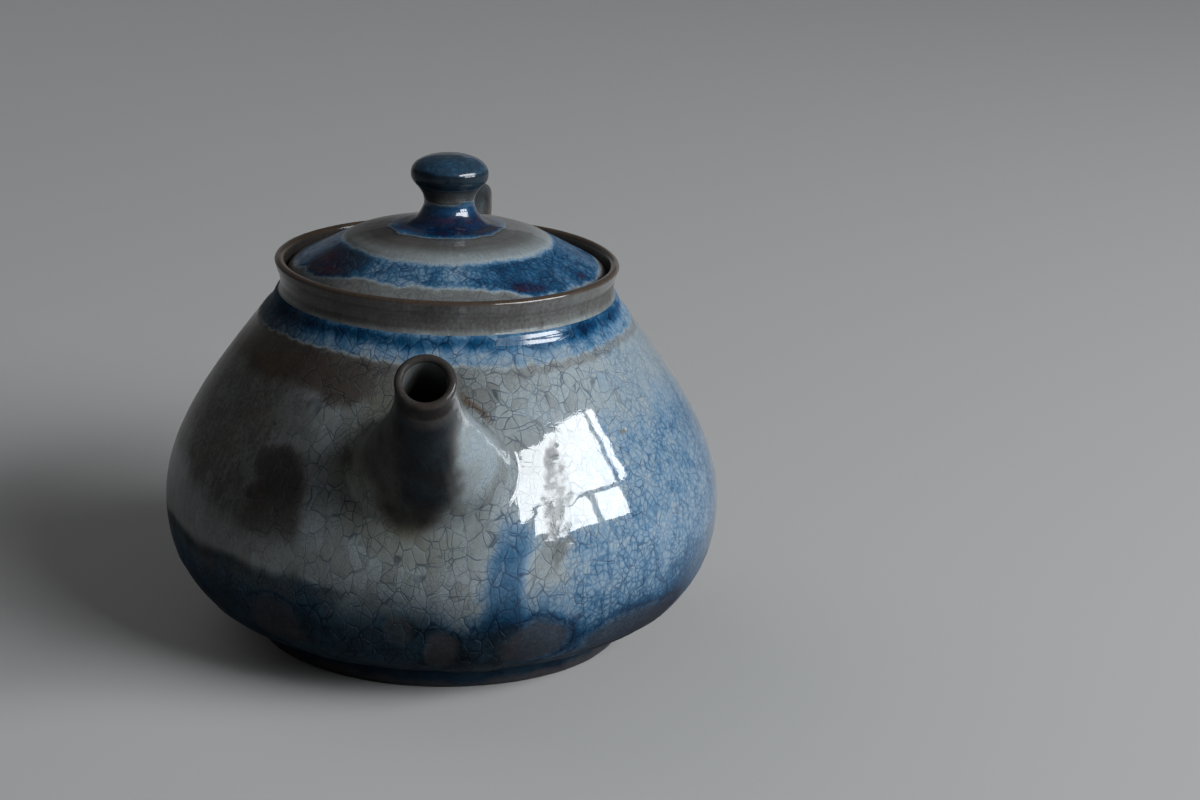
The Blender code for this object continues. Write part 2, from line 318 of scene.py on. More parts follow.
def glaze_on_wall(points):
    """What the glaze does at points of the wall, painted light and shade included: thick, bare, mottle, craze
    and stain, each from 0 to 1.
    """
    turn, radius, height = turn_of(points), radius_of(points), points[..., 2]
    drift = rough_noise(points, 16, 3)
    ripple = rough_noise(points, 5, 9)
    bent = turn + 9 * drift + 3 * ripple

    # broad areas round the pot: thin and grey on the left, its darkness partly painted shade, pale in front,
    # blue and mottled on the right
    left = ramp(turn_from(bent, -22), 0, -32) * ramp(turn_from(bent, -22), -128, -96)
    right = ramp(turn_from(bent, 36), -12, 12) * (1 - ramp(turn_from(bent, 36), 76, 116))
    right = np.maximum(right, ramp(bent, 17, 34) * (1 - ramp(bent, 60, 90)) * ramp(height, 46, 34))
    back = ramp(apart(bent, 180), 74, 40)
    thick = mix(0.435, 0.25, left)
    thick = mix(thick, 0.585, right)
    thick = thick + 0.05 * right * ramp(turn, 62, 84)
    thick = thick + 0.05 * right * ramp(height, 32, 20) * ramp(turn, 38, 50)
    thick = thick + 0.05 * right * ramp(turn, 52, 66) * ramp(height, 32, 22)
    thick = mix(thick, 0.34, back * 0.8)
    mottle = mix(0.25, 1.0, right)
    mottle = mix(mottle, 0.85, np.maximum(left, back))

    # the lower belly gathers glaze, more so on the left and over the foot; the darkening this brings is
    # partly that glaze and partly painted shade and a painted dark reflection
    gathered_and_shade = ramp(height + 5 * drift, 33, 9)
    low_edge = mix(30.0, 24.0, ramp(apart(turn, 2), 26, 6)) - 7 * right
    amount = mix(mix(0.20, 0.46, left), 0.08, right)
    thick = thick + amount * ramp(height + 3 * drift + 1.5 * ripple, low_edge, low_edge - 14)
    thick = thick + 0.10 * gathered_and_shade * (1 - 0.6 * right)

    thick = thick + runs_of_glaze(points, drift, ripple)

    # the thin brown zone on the shoulder, then the ring of pooled glaze under the collar
    thin_zone = band(height + 1.2 * ripple + 1.5 * drift, 59.0, 63.4, 3.2)
    thin_share = mix(0.24, 1.0, ramp(turn_from(turn, -18), 14, -8)) * ramp(apart(turn, 80), 32, 66)
    thick = mix(thick, mix(0.20, 0.10, ramp(turn, -24, -44)), thin_zone * thin_share)
    pale_zone = ramp(height + 2 * drift, 49, 57) * ramp(apart(turn, 62), 58, 34)
    thick = mix(thick, 0.50 + 0.035 * ramp(turn, 40, 60), pale_zone * 0.9)
    mottle = mix(mottle, 0.25, pale_zone)
    scallop = 1 - np.abs(np.sin(np.radians(turn * 26 + 55 * drift)))
    pool_edge = 64.0 + 0.35 * ripple + 0.4 * scallop + 0.5 * drift
    pool_edge = pool_edge + 0.5 * ramp(apart(turn, 15), 30, 50)
    pooled = ramp(height, pool_edge - 0.5, pool_edge + 0.5)
    depth = 0.575 + 0.19 * ramp(height, pool_edge + 1.3, pool_edge + 3.6)
    depth = depth + 0.05 * rough_noise(points, 3.2, 21) - 0.10 * ramp(height, WALL_TOP - 0.9, WALL_TOP - 0.1)
    depth = depth + 0.08 * ramp(apart(turn, -45), 40, 12)
    depth = depth + 0.10 * ramp(apart(turn, 62), 28, 10)
    thick = mix(thick, depth, pooled)
    stain = band(height, pool_edge - 1.4, pool_edge - 0.6, 0.6) * band(turn, 28, 88, 14) * 0.38
    stain = stain + 0.22 * thin_zone * thin_share + 0.14 * left * ramp(ripple, -0.1, 0.6)
    beside = band(turn, 12, 40, 8) * band(height, 47, 60, 4)
    mottle = np.maximum(mottle, 0.25 * beside)

    # the halo where the spout's root was smoothed on
    root = SPOUT_TIP - SPOUT_WAY * SPOUT_ROOT_DEPTH
    near = np.linalg.norm(points - root, axis=-1) + 1.2 * ripple
    front = ramp(points[..., 0], 10, 30)
    halo = band(near, 13.0, 16.5, 3.5) * front
    thick = mix(thick, 0.37, halo * 0.55 * ramp(turn, 14, -6))
    olive = halo * ramp(turn, 16, -8) * 0.30
    # the dark patch under the spout's root: partly darker glaze, partly painted shade on the root's underside
    across, below = points[..., 1], height + 0.8 * ripple
    rounded_foot = np.hypot((across + 3.6) / 5.4, np.minimum(below - 44.0, 0) / 7.0)
    under_spout_dark_and_shade = ramp(rounded_foot + 0.08 * ripple, 1.35, 0.75) * ramp(below, 62, 52) * front
    thick = mix(thick, 0.12 + 0.03 * ripple, under_spout_dark_and_shade * 0.92)
    craze_cut = 1 - 0.8 * under_spout_dark_and_shade
    # painted shade on the left side of the spout's root
    shade_left_of_spout = np.exp(-((turn_from(turn, -14.5) / 4.0) ** 2 + ((height - 51) / 5.5) ** 2)) * front
    thick = mix(thick, 0.22, shade_left_of_spout * 0.5)
    spot = np.exp(-((turn_from(turn, -18.5) / 1.6) ** 2 + ((height - 48.5) / 1.4) ** 2)) * front
    thick = mix(thick, 0.03, spot)
    streak = band(near, 14.6, 15.4, 0.5) * band(turn, 8, 15, 3) * ramp(height, 54, 57)
    stain = stain + 0.75 * streak

    # a painted reflection: a pale band on the left, wider and paler towards the far left, that ends in a
    # clear line over the darker belly below
    reflected_band_top = 32.0 + 5.5 * ramp(turn, -42, -66)
    reflected_band = ramp(turn, -12, -26) * ramp(turn, -128, -96) * ramp(height, 26, 28)
    reflected_band = reflected_band * ramp(height + 2.0 * drift + ripple, reflected_band_top + 2.5, reflected_band_top - 1.5)
    thick = mix(thick, 0.40 + 0.03 * ramp(turn, -44, -64), reflected_band * 0.85)
    mottle = mix(mottle, 0.35, reflected_band)

    # the thin arch, and fingerprints with a rolled edge of glaze round each
    bare = np.zeros_like(thick)
    arch_turn, arch_top, arch_half = ARCH
    across = arc_length(apart(turn, arch_turn + 0.8 * ripple), radius)
    above = height - (arch_top - arch_half)
    arch_shape = np.hypot(across / (1 - 0.022 * np.minimum(above, 0)), np.maximum(above, 0)) / arch_half
    in_arch = ramp(arch_shape + 0.16 * ripple, 1.18, 0.66) * ramp(height, 29, 41)
    thick = mix(thick, 0.08, in_arch * 0.82)
    bare = np.maximum(bare, in_arch * 0.25)
    for print_turn, print_height, half_width, half_height, amount in PRINTS:
        across = arc_length(turn_from(turn, print_turn), radius) / half_width
        up = (height - print_height) / half_height
        shape = (np.abs(across) ** 2.3 + np.abs(up) ** 2.3) ** (1 / 2.3)
        shape = shape + 0.16 * ripple + 0.10 * drift
        inside = ramp(shape, 1.16, 0.70)
        rolled = hump(shape, 1.14, 0.14) * (1 - inside)
        thick = thick + 0.13 * rolled * amount
        bare = np.maximum(bare, inside * amount)
    top_turn, top, foot_turn, foot, half_width = SCAR
    down = np.clip((top - height) / (top - foot), 0, 1)
    across = arc_length(apart(turn, mix(top_turn, foot_turn, down)), radius)
    ragged = rough_noise(points, 1.5, 24, 2)
    taper = half_width * (0.35 + 1.1 * np.sin(np.pi * np.clip(down, 0.02, 0.98)) ** 0.7 + 0.5 * ripple)
    scar = ramp(across + 0.6 * ragged, taper * 1.15, taper * 0.55) * band(height, foot, top, 2.0)
    scar = scar * (0.45 + 0.55 * ramp(rough_noise(points, 1.3, 25, 2), -0.35, 0.15))
    bare = np.maximum(bare, scar * mix(0.70, 0.35, down))
    thick = mix(thick, 0.42, scar * 0.7)
    mottle = mix(mottle, 0.3, bare)

    # darker low down and round the left side: partly dark, murky glaze, partly painted shade and a painted
    # dark reflection
    sooner = 5.5 * ramp(turn, 15, -10) * ramp(turn, -150, -110)
    sooner = sooner - 4.0 * ramp(turn, -24, -34) * ramp(turn, -128, -96)
    low = ramp(height - sooner + 2.0 * drift + 0.8 * ripple, 28.0, 13.0)
    murk = 0.95 * low * mix(1.0, 0.30, ramp(turn, 13, 27) * ramp(turn, 150, 120))
    # painted shade and a painted dark reflection below the pale band on the left
    below_reflected_band = ramp(height + 1.0 * drift + 0.8 * ripple, 28.2, 25.4)
    murk = np.maximum(murk, 0.86 * ramp(turn, -8, -20) * ramp(turn, -128, -96) * below_reflected_band)
    murk = highest(murk * mix(1.0, 0.6, back), 0.95 * ramp(height, 11.5, 7.5) * mix(1.0, 0.8, right),
                   0.75 * left * ramp(height, 62.5, 65.5) * ramp(turn_from(turn, -30), 0, -40))
    murk = np.clip(murk, 0, 1)

    # where the glaze has little gloss
    calm = ramp(np.hypot(points[..., 1] / 1.15, height - 41), 25, 13) * front * ramp(turn, 15, 5)
    dull = highest(0.97 * ramp(murk, 0.0, 0.55), 0.75 * left * ramp(height, 69, 58),
                   0.92 * ramp(height, 27, 14), 0.92 * under_spout_dark_and_shade, 0.70 * calm,
                   0.80 * bare * ramp(height, 30, 22),
                   0.90 * pooled * ramp(apart(turn, 35), 4, 9))

    craze = mix(1.0, 0.30, left) * (1 - 0.75 * bare) * mix(1.0, 0.5, right * ramp(turn, 44, 70))
    craze = np.maximum(craze, pooled * 0.9) * craze_cut
    return {"thick": thick, "bare": bare, "mottle": mottle, "craze": craze,
            "stain": np.clip(stain, 0, 1), "olive": olive, "purple": np.zeros_like(thick), "murk": murk,
            "dull": np.clip(dull, 0, 0.97)}


def wall_relief(points):
    """How far the wall's surface stands out from its plain shape, in mm."""
    turn, height = turn_of(points), points[..., 2]
    glaze = glaze_on_wall(points)
    rings = 0.009 * np.sin(height * 2 * np.pi / 4.6 + np.radians(turn)) * band(height, 12, 60, 6)
    lumps = 0.16 * rough_noise(points, 30, 5, 2) * band(height, 12, 46, 9)
    groove = -0.34 * hump(height, 67.0, 1.7)
    melt = 0.30 * np.clip(glaze["thick"], 0, 1) * ramp(height, 54, 46) + 0.14 * ramp(height, 46, 54)
    extra = runs_of_glaze(points, rough_noise(points, 16, 3), rough_noise(points, 5, 9))
    melt = melt - 0.20 * glaze["bare"] + 1.1 * extra
    pooled = 0.13 * ramp(height, 63.4, 66.0)
    return rings + lumps + groove + melt + pooled - 0.30


# ---------------------------------------------------------------- meshes
def normals_of(grid, closed_rows=False):
    """Outward or inward unit normals of a grid of points that closes round its second axis."""
    around = np.roll(grid, -1, axis=1) - np.roll(grid, 1, axis=1)
    if closed_rows:
        along = np.roll(grid, -1, axis=0) - np.roll(grid, 1, axis=0)
    else:
        along = np.gradient(grid, axis=0)
    made = np.cross(around, along)
    size = np.linalg.norm(made, axis=-1, keepdims=True)
    return made / np.maximum(size, 1e-9)


def placed(name, data):
    """A new object with this data, linked into the scene."""
    made = bpy.data.objects.new(name, data)
    bpy.context.scene.collection.objects.link(made)
    return made


def mesh_from(name, bm):
    """A mesh made from a bmesh, which is freed."""
    mesh = bpy.data.meshes.new(name)
    bm.to_mesh(mesh)
    bm.free()
    return mesh


def add_piece(name, grid, fields, material, body, nodes, closed_rows=False):
    """A mesh from a grid of points that closes round its second axis, with its glaze fields and its body."""
    rows, around = grid.shape[:2]
    i = np.arange(rows if closed_rows else rows - 1)[:, None]
    j = np.arange(around)[None, :]
    ahead, right = (i + 1) % rows, (j + 1) % around
    quads = np.stack([i * around + j, i * around + right, ahead * around + right, ahead * around + j], -1)
    quads = quads.reshape(-1, 4)
    mesh = bpy.data.meshes.new(name)
    mesh.vertices.add(rows * around)
    mesh.vertices.foreach_set("co", (grid * MM).astype(np.float32).ravel())
    mesh.loops.add(quads.size)
    mesh.loops.foreach_set("vertex_index", quads.astype(np.int32).ravel())
    mesh.polygons.add(len(quads))
    mesh.polygons.foreach_set("loop_start", np.arange(0, quads.size, 4, dtype=np.int32))
    mesh.update(calc_edges=True)
    for key, values in fields.items():
        layer = mesh.attributes.new(key, "FLOAT", "POINT")
        layer.data.foreach_set("value", np.clip(values, 0, 1).astype(np.float32).ravel())
    bm = bmesh.new()
    bm.from_mesh(mesh)
    bmesh.ops.remove_doubles(bm, verts=bm.verts, dist=2e-6)
    bmesh.ops.recalc_face_normals(bm, faces=bm.faces)
    bm.to_mesh(mesh)
    bm.free()
    mesh.shade_smooth()
    mesh.materials.append(material)
    made = placed(name, mesh)
    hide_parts(*nodes)
    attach(made, body)
    return made


def pierce(made, radius):
    """Cut the lid's vent, a straight upright hole, through a piece."""
    low, high = VENT_SPAN
    bm = bmesh.new()
    bmesh.ops.create_cone(bm, cap_ends=True, segments=40, radius1=radius * MM, radius2=radius * MM,
                          depth=(high - low) * MM,
                          matrix=Matrix.Translation(Vector((VENT_PLACE, 0.0, (low + high) / 2)) * MM))
    cutter = placed("cutter", mesh_from("cutter", bm))
    cut = made.modifiers.new("hole", "BOOLEAN")
    cut.object = cutter
    cut.operation = "DIFFERENCE"
    cut.solver = "EXACT"
    pierced = bpy.data.meshes.new_from_object(made.evaluated_get(bpy.context.evaluated_depsgraph_get()))
    made.modifiers.clear()
    made.data = pierced
    pierced.set_sharp_from_angle(angle=math.radians(40))
    bpy.data.objects.remove(cutter)


def spun(outline, count):
    """The grid of points that an outline sweeps out round Z."""
    a = np.radians(np.arange(count) * 360 / count)
    grid = np.empty((len(outline), count, 3))
    grid[..., 0] = outline[:, :1] * np.cos(a)
    grid[..., 1] = outline[:, :1] * np.sin(a)
    grid[..., 2] = outline[:, 1:2]
    return grid


GLAZE_FIELDS = ("thick", "bare", "mottle", "craze", "stain", "olive", "purple", "murk", "dull")


def even(shape, **values):
    """Glaze fields over a grid, 0 where no value is given."""
    return {key: np.full(shape, values.get(key, 0.0), float) for key in GLAZE_FIELDS}


def pushed_out(grid, amount):
    """The grid with its points moved away from the axis by amount."""
    outward = grid / np.maximum(radius_of(grid), 1e-6)[..., None] * (1, 1, 0)
    return grid + outward * amount[..., None]


def take_rows(fields, rows, other):
    """Overwrite these rows of the fields with other fields."""
    for key in fields:
        fields[key][rows] = other[key]


def blend_fields(a, b, share):
    return {key: mix(a[key], b[key], share) for key in a}


# ---------------------------------------------------------------- the glaze material
class Value:
    """A node's output; the signs + - * join it to a number or to another output with a math node."""

    def __init__(self, nodes, socket):
        self.nodes = nodes
        self.socket = socket

    def __add__(self, other):
        return self.nodes.math("ADD", self, other)

    def __radd__(self, other):
        return self.nodes.math("ADD", other, self)

    def __sub__(self, other):
        return self.nodes.math("SUBTRACT", self, other)

    def __rsub__(self, other):
        return self.nodes.math("SUBTRACT", other, self)

    def __mul__(self, other):
        return self.nodes.math("MULTIPLY", self, other)

    def __rmul__(self, other):
        return self.nodes.math("MULTIPLY", other, self)


class Nodes:
    """Short ways to add shader nodes to one material."""

    def __init__(self, name):
        self.material = bpy.data.materials.new(name)
        self.material.use_nodes = True
        self.tree = self.material.node_tree

    def fill(self, node, inputs):
        for key, value in inputs.items():
            if isinstance(value, Value):
                self.tree.links.new(value.socket, node.inputs[key])
            else:
                node.inputs[key].default_value = value

    def surface(self, inputs):
        """The finished material, its surface filled with these inputs."""
        self.fill(self.tree.nodes["Principled BSDF"], inputs)
        return self.material

    def add(self, kind, inputs, output=0, **settings):
        """The output of a new node with these inputs and settings."""
        node = self.tree.nodes.new("ShaderNode" + kind)
        for key, value in settings.items():
            setattr(node, key, value)
        self.fill(node, inputs)
        return Value(self, node.outputs[output])

    def math(self, operation, a, b, clamp=False):
        """a and b joined by a math node; a vector is joined part by part, or scaled by a number."""
        if not isinstance(a, Value) or a.socket.type == "VALUE":
            return self.add("Math", {0: a, 1: b}, operation=operation, use_clamp=clamp)
        if isinstance(b, float):
            return self.add("VectorMath", {0: a, "Scale": b}, operation="SCALE")
        return self.add("VectorMath", {0: a, 1: b}, operation=operation)

    def place(self):
        """Where the shaded point lies on the teapot, in mm."""
        return self.add("TexCoord", {}, "Object") * (1 / MM)

    def ramp(self, value, start, end, low=0.0, high=1.0):
        return self.add("MapRange", {"Value": value, "From Min": start, "From Max": end, "To Min": low,
                                     "To Max": high}, "Result", interpolation_type="SMOOTHSTEP")

    def mix(self, share, a, b, how="MIX"):
        return self.add("Mix", {"Factor": share, "A": a, "B": b}, "Result", data_type="RGBA", blend_type=how)

    def colours(self, value, stops):
        made = self.add("ValToRGB", {"Fac": value}, "Color")
        steps = made.socket.node.color_ramp.elements
        while len(steps) < len(stops):
            steps.new(0.5)
        for step, (place, colour) in zip(steps, stops):
            step.position = place
            step.color = (*colour, 1.0)
        return made

    def noise(self, vector, size, detail=2.0, roughness=0.5, output="Fac"):
        return self.add("TexNoise", {"Vector": vector, "Scale": 1.0 / size, "Detail": detail,
                                     "Roughness": roughness}, output)

    def cells(self, vector, size, feature, output):
        return self.add("TexVoronoi", {"Vector": vector, "Scale": 1.0 / size}, output, feature=feature)

    def gap(self, vector, size):
        """The distance in mm to the nearest edge between cells."""
        return self.cells(vector, size, "DISTANCE_TO_EDGE", "Distance") * size

    def bump(self, height, strength):
        return self.add("Bump", {"Height": height, "Strength": strength, "Distance": MM}, "Normal")


THICKNESS_COLOURS = (            # from bare edge to deep pool
    (0.00, (0.011, 0.009, 0.008)),
    (0.14, (0.024, 0.021, 0.020)),
    (0.28, (0.058, 0.055, 0.052)),
    (0.42, (0.120, 0.129, 0.128)),
    (0.52, (0.188, 0.218, 0.230)),
    (0.62, (0.105, 0.166, 0.230)),
    (0.70, (0.034, 0.092, 0.162)),
    (0.79, (0.005, 0.043, 0.096)),
    (0.90, (0.002, 0.015, 0.044)),
    (1.00, (0.003, 0.006, 0.018)),
)

TALL_CELL, WIDE_CELL, FINE_CELL = 2.35, 3.5, 1.25      # sizes of the crackle's cells
STREAK_RADIUS = 38.0                                   # the streaks are drawn on an upright cylinder


def crackle_glaze(name, **fixed):
    """The glaze. Its fields come from the mesh, or are the same everywhere if they are given here."""
    n = Nodes(name)
    place = n.place()
    if fixed:
        values = (fixed.get(key, 0.0) for key in GLAZE_FIELDS)
    else:
        values = (n.add("Attribute", {}, "Fac", attribute_name=key) for key in GLAZE_FIELDS)
    thick, bare, mottle, craze, stain, olive, purple, murk, dull = values

    # cracks: two bold nets that cross and a fine net, on gently bent coordinates
    bent = place + (n.noise(place, 7.0, output="Color") - (0.5, 0.5, 0.5)) * 3.0
    tall = bent * (1.0, 1.0, 0.55)
    wide = (bent + (31.7, 11.3, 5.1)) * (0.62, 0.80, 1.0)
    tall_gap = n.gap(tall, TALL_CELL)
    wide_gap = n.gap(wide, WIDE_CELL)
    shifted = n.gap(tall + (0.09, 0.11, 0.09), TALL_CELL)
    line_half = n.ramp(thick, 0.58, 0.70, 0.12, 0.26)
    fine = n.gap(bent, FINE_CELL)
    patchy = n.ramp(n.noise(place, 8.0), 0.36, 0.60)
    uneven = n.ramp(n.noise(place, 3.0), 0.30, 0.62, 0.35, 1.0)
    crossing = n.ramp(wide_gap, 0.11, 0.015) * n.ramp(n.noise(place, 6.0, 1.0), 0.42, 0.58)
    bold_line = n.math("MAXIMUM", n.ramp(tall_gap, line_half, 0.015), crossing) * craze * uneven
    fine_line = n.ramp(fine, 0.10, 0.015) * n.ramp(patchy, 0.0, 1.0, 0.25, 0.9)
    fine_line = fine_line * n.ramp(craze, 0.0, 0.5, 0.3, 1.0)
    # a painted highlight: a pale line beside each bold crack, offset to one side
    painted_crack_glint = n.math("SUBTRACT", n.ramp(shifted, 0.11, 0.02), n.ramp(tall_gap, 0.14, 0.03), clamp=True) * craze
    cell_tone = n.add("SeparateColor", {"Color": n.cells(tall, TALL_CELL, "F1", "Color")}, "Red")
    network = n.ramp(fine, 0.36, 0.03)

    # thickness with cloudy, grainy and streaky variation, which moves the colour along the scale
    outward = n.add("VectorMath", {0: place * (1.0, 1.0, 0.0)}, operation="NORMALIZE") * STREAK_RADIUS
    streak = n.noise(outward + place * (0.0, 0.0, 0.22), 0.85, 2.0, 0.6) - 0.5
    cloud = n.noise(place, 4.2, 3.0, 0.6) - 0.5
    grain = n.noise(place, 0.75, 3.0, 0.65) - 0.5
    level = thick + cloud * (mottle * 0.16)
    level = level + grain * (mottle * 0.12 + 0.05)
    level = level + streak * (mottle * 0.10 + 0.06)
    level = level + (cell_tone - 0.5) * (craze * 0.07)
    level = n.math("ADD", level, network * (mottle * 0.065), clamp=True)
    colour = n.colours(level, THICKNESS_COLOURS)

    colour = n.mix(olive, colour, (0.090, 0.095, 0.062, 1))
    # dark glaze and painted shade both take this near-black teal
    teal = n.mix(n.ramp(cloud, -0.15, 0.15), (0.006, 0.010, 0.014, 1), (0.010, 0.022, 0.030, 1))
    colour = n.mix(murk, colour, teal)
    redder = n.ramp(n.noise(place, 1.3, 3.0, 0.6), 0.45, 0.62)
    plum = n.mix(redder, (0.010, 0.006, 0.030, 1), (0.042, 0.008, 0.011, 1))
    colour = n.mix(purple * 0.8, colour, plum)
    clay_tone = n.mix(n.noise(place, 0.9, 4.0, 0.7), (0.012, 0.009, 0.009, 1), (0.054, 0.047, 0.045, 1))
    colour = n.mix(bare * (0.88 - murk * 0.28), colour, clay_tone)
    colour = n.mix(stain, colour, (0.060, 0.036, 0.020, 1))
    # the painted highlight beside the cracks
    colour = n.mix(painted_crack_glint * 0.07, colour, (0.34, 0.41, 0.45, 1))
    dark_lines = n.math("MAXIMUM", bold_line * 0.80, fine_line * 0.50)
    shadow = n.mix(1.0, colour, (0.15, 0.22, 0.33, 1), "MULTIPLY")
    colour = n.mix(dark_lines, colour, shadow)

    under = n.bump(n.math("MAXIMUM", bold_line, fine_line * 0.4) * -0.028 + grain * 0.02, 0.9)
    skin_height = bold_line * -0.002 + n.noise(place, 1.8) * 0.016
    skin = n.bump(skin_height + n.noise(place, 0.35) * (bare * 0.08), 0.6)
    roughness = n.ramp(bare, 0.0, 1.0, 0.32, 0.55)
    glossy = 1.0 - dull
    return n.surface({
        "Base Color": colour,
        "Roughness": roughness,
        "Normal": under,
        "Specular IOR Level": glossy * 0.08,
        "Coat Weight": n.ramp(bare, 0.1, 1.0, 1.0, 0.30) * glossy,
        "Coat Roughness": n.ramp(bare, 0.0, 1.0, 0.035, 0.28),
        "Coat IOR": 1.47,
        "Coat Normal": skin,
    })


def bare_clay():
    n = Nodes("bare_clay")
    place = n.place()
    grain = n.noise(place, 0.6, 4.0, 0.7)
    cloud = n.noise(place, 7.0, 3.0, 0.6)
    colour = n.mix(cloud, (0.125, 0.092, 0.070, 1), (0.190, 0.150, 0.122, 1))
    colour = n.mix(grain * 0.5, colour, (0.065, 0.045, 0.035, 1))
    specks = n.ramp(n.cells(place, 1.7, "DISTANCE_TO_EDGE", "Distance"), 0.44, 0.52)
    colour = n.mix(specks, colour, (0.035, 0.022, 0.016, 1))
    bump = n.bump(grain * 0.10, 0.9)
    return n.surface({"Base Color": colour, "Roughness": n.ramp(cloud, 0.3, 0.7, 0.72, 0.88), "Normal": bump})


GLAZE = crackle_glaze("crackle_glaze")
CLAY = bare_clay()


# ---------------------------------------------------------------- the pot wall
def make_wall():
    outside = WALL_LINE
    inside = offset(outside, WALL)
    inside = inside[(inside[:, 1] > WALL_BOTTOM + 6.2) & (inside[:, 1] < WALL_TOP - 6)][::-1]
    floor = WALL_BOTTOM + 3.6
    inner = np.vstack([[(MOUTH_RADIUS, WALL_TOP - 0.2), (MOUTH_RADIUS, WALL_TOP - 3.2)], inside,
                       [(36.5, floor + 1.0), (26.0, floor), (0.0, floor)]])
    under = [(0.0, WALL_BOTTOM), (FOOT_RADIUS + 1.2, WALL_BOTTOM)]
    lip = [(SHOULDER_RADIUS, WALL_TOP), (MOUTH_RADIUS + 0.2, WALL_TOP)]
    outline = joined((under, COARSE), (outside, FINE), (lip, COARSE), (inner, COARSE))
    around = round(2 * math.pi * BELLY_RADIUS / FINE)
    grid = spun(outline, around)
    under_rows = len(respace(under, COARSE))
    outer = slice(under_rows - 1, under_rows - 1 + len(outside))
    fields = even(grid.shape[:2], thick=0.36, craze=0.7, mottle=0.3)
    fields["bare"][:under_rows - 1] = 1.0
    fields["thick"][:under_rows - 1] = 0.05
    take_rows(fields, outer, glaze_on_wall(grid[outer]))
    normal = normals_of(grid[outer])
    flip = np.sign((normal * grid[outer]).sum())
    relief = wall_relief(grid[outer])
    row = np.arange(len(outside))[:, None]
    ease = ramp(row, 0, 6) * ramp(row, len(outside) - 1, len(outside) - 6)
    grid[outer] += normal * flip * (relief * ease)[..., None]
    add_piece("pot_wall", grid, fields, GLAZE, "pot", ["pot_body"])


# ---------------------------------------------------------------- things that grow out of the wall
def displaced_wall(turn, done):
    """Points of the finished wall: the plain one with its relief, along its own normal."""
    plain = on_wall(turn, done)
    step = 0.3
    up = on_wall(turn, done + step) - on_wall(turn, done - step)
    a = np.radians(turn)
    side = np.stack([-np.sin(a), np.cos(a), np.zeros_like(a)], -1)
    normal = np.cross(side, up)
    normal /= np.linalg.norm(normal, axis=-1, keepdims=True)
    return plain + normal * wall_relief(plain)[..., None], normal


def off_wall(points, turn):
    """Each point as (turn, distance up the outline, clearance) beside the plain wall; turns lie near turn."""
    flat = np.stack([radius_of(points), points[..., 2]], -1)
    far = np.linalg.norm(flat[..., None, :] - CLOSE_LINE, axis=-1)
    nearest = np.argmin(far, axis=-1)
    return np.stack([turn + turn_from(turn_of(points), turn), CLOSE_DONE[nearest], far.min(axis=-1)], -1)


def run_out(ring, way, turn, done, half_side, half_up, rows, reach, settle, lift=0.0, fillet=0.8):
    """Rows of points that carry a ring, travelling along way, smoothly onto the wall round (turn, done).

    The curves are drawn beside the unrolled wall, so their clearance from it only ever falls. half_side and
    half_up give the oval that the last row makes on the wall; lift makes the foot fuller, fillet softens it.
    """
    a = angles_round(len(ring))
    per_mm = np.degrees(1 / float(np.interp(done, WALL_DONE, WALL_LINE[:, 0])))

    def foot(scale):
        across, along = half_side * scale * np.cos(a), half_up * scale * np.sin(a)
        return np.stack([turn + across * per_mm, done + along], -1)

    start = off_wall(ring, turn)
    step = 4.0
    first = start + (off_wall(ring + way * step, turn) - start) * (reach / step)
    outwards = np.stack([half_side * np.cos(a), half_up * np.sin(a)], -1)
    outwards /= np.linalg.norm(outwards, axis=-1, keepdims=True)
    level = np.zeros((len(ring), 1))
    end = np.hstack([foot(1.0), level])
    second = end - np.hstack([outwards * (per_mm, 1.0), level]) * settle
    second[:, 2] += lift
    t = np.linspace(0, 1, rows + 1)[1:, None, None]
    path = cubic(t, start, first, second, end)
    eased = ramp(t, 0, 1) * np.ones(path.shape[:2] + (1,))
    bumpy, normal = displaced_wall(path[..., 0], path[..., 1])
    plain = on_wall(path[..., 0], path[..., 1])
    clear = path[..., 2:]
    clear = mix(clear, np.sqrt(clear ** 2 + fillet ** 2) - fillet, eased)
    made = mix(plain, bumpy, eased) + normal * clear
    sunk = []
    for scale, depth in ((1.03, 0.03), (1.06, 0.15), (1.10, 0.45), (1.0, 1.5)):
        place, normal = displaced_wall(foot(scale)[:, 0], foot(scale)[:, 1])
        sunk.append(place - normal * depth)
    return np.concatenate([made, np.array(sunk)], 0)


def radial_ways(ring, centre, way, outwards):
    """Unit directions at a ring's points: along way, tilted outwards by an angle."""
    out = ring - centre
    out /= np.linalg.norm(out, axis=1)[:, None]
    return way * math.cos(outwards) + out * math.sin(outwards)


def oval(centre, side, up, half_side, half_up, count, squareness=2.0):
    """A ring of points; squareness 2 is an ellipse, more is boxier."""
    a = angles_round(count)
    c, s = np.cos(a), np.sin(a)
    stretch = (np.abs(c) ** squareness + np.abs(s) ** squareness) ** (-1 / squareness)
    return centre + side * (half_side * c * stretch)[:, None] + up * (half_up * s * stretch)[:, None]


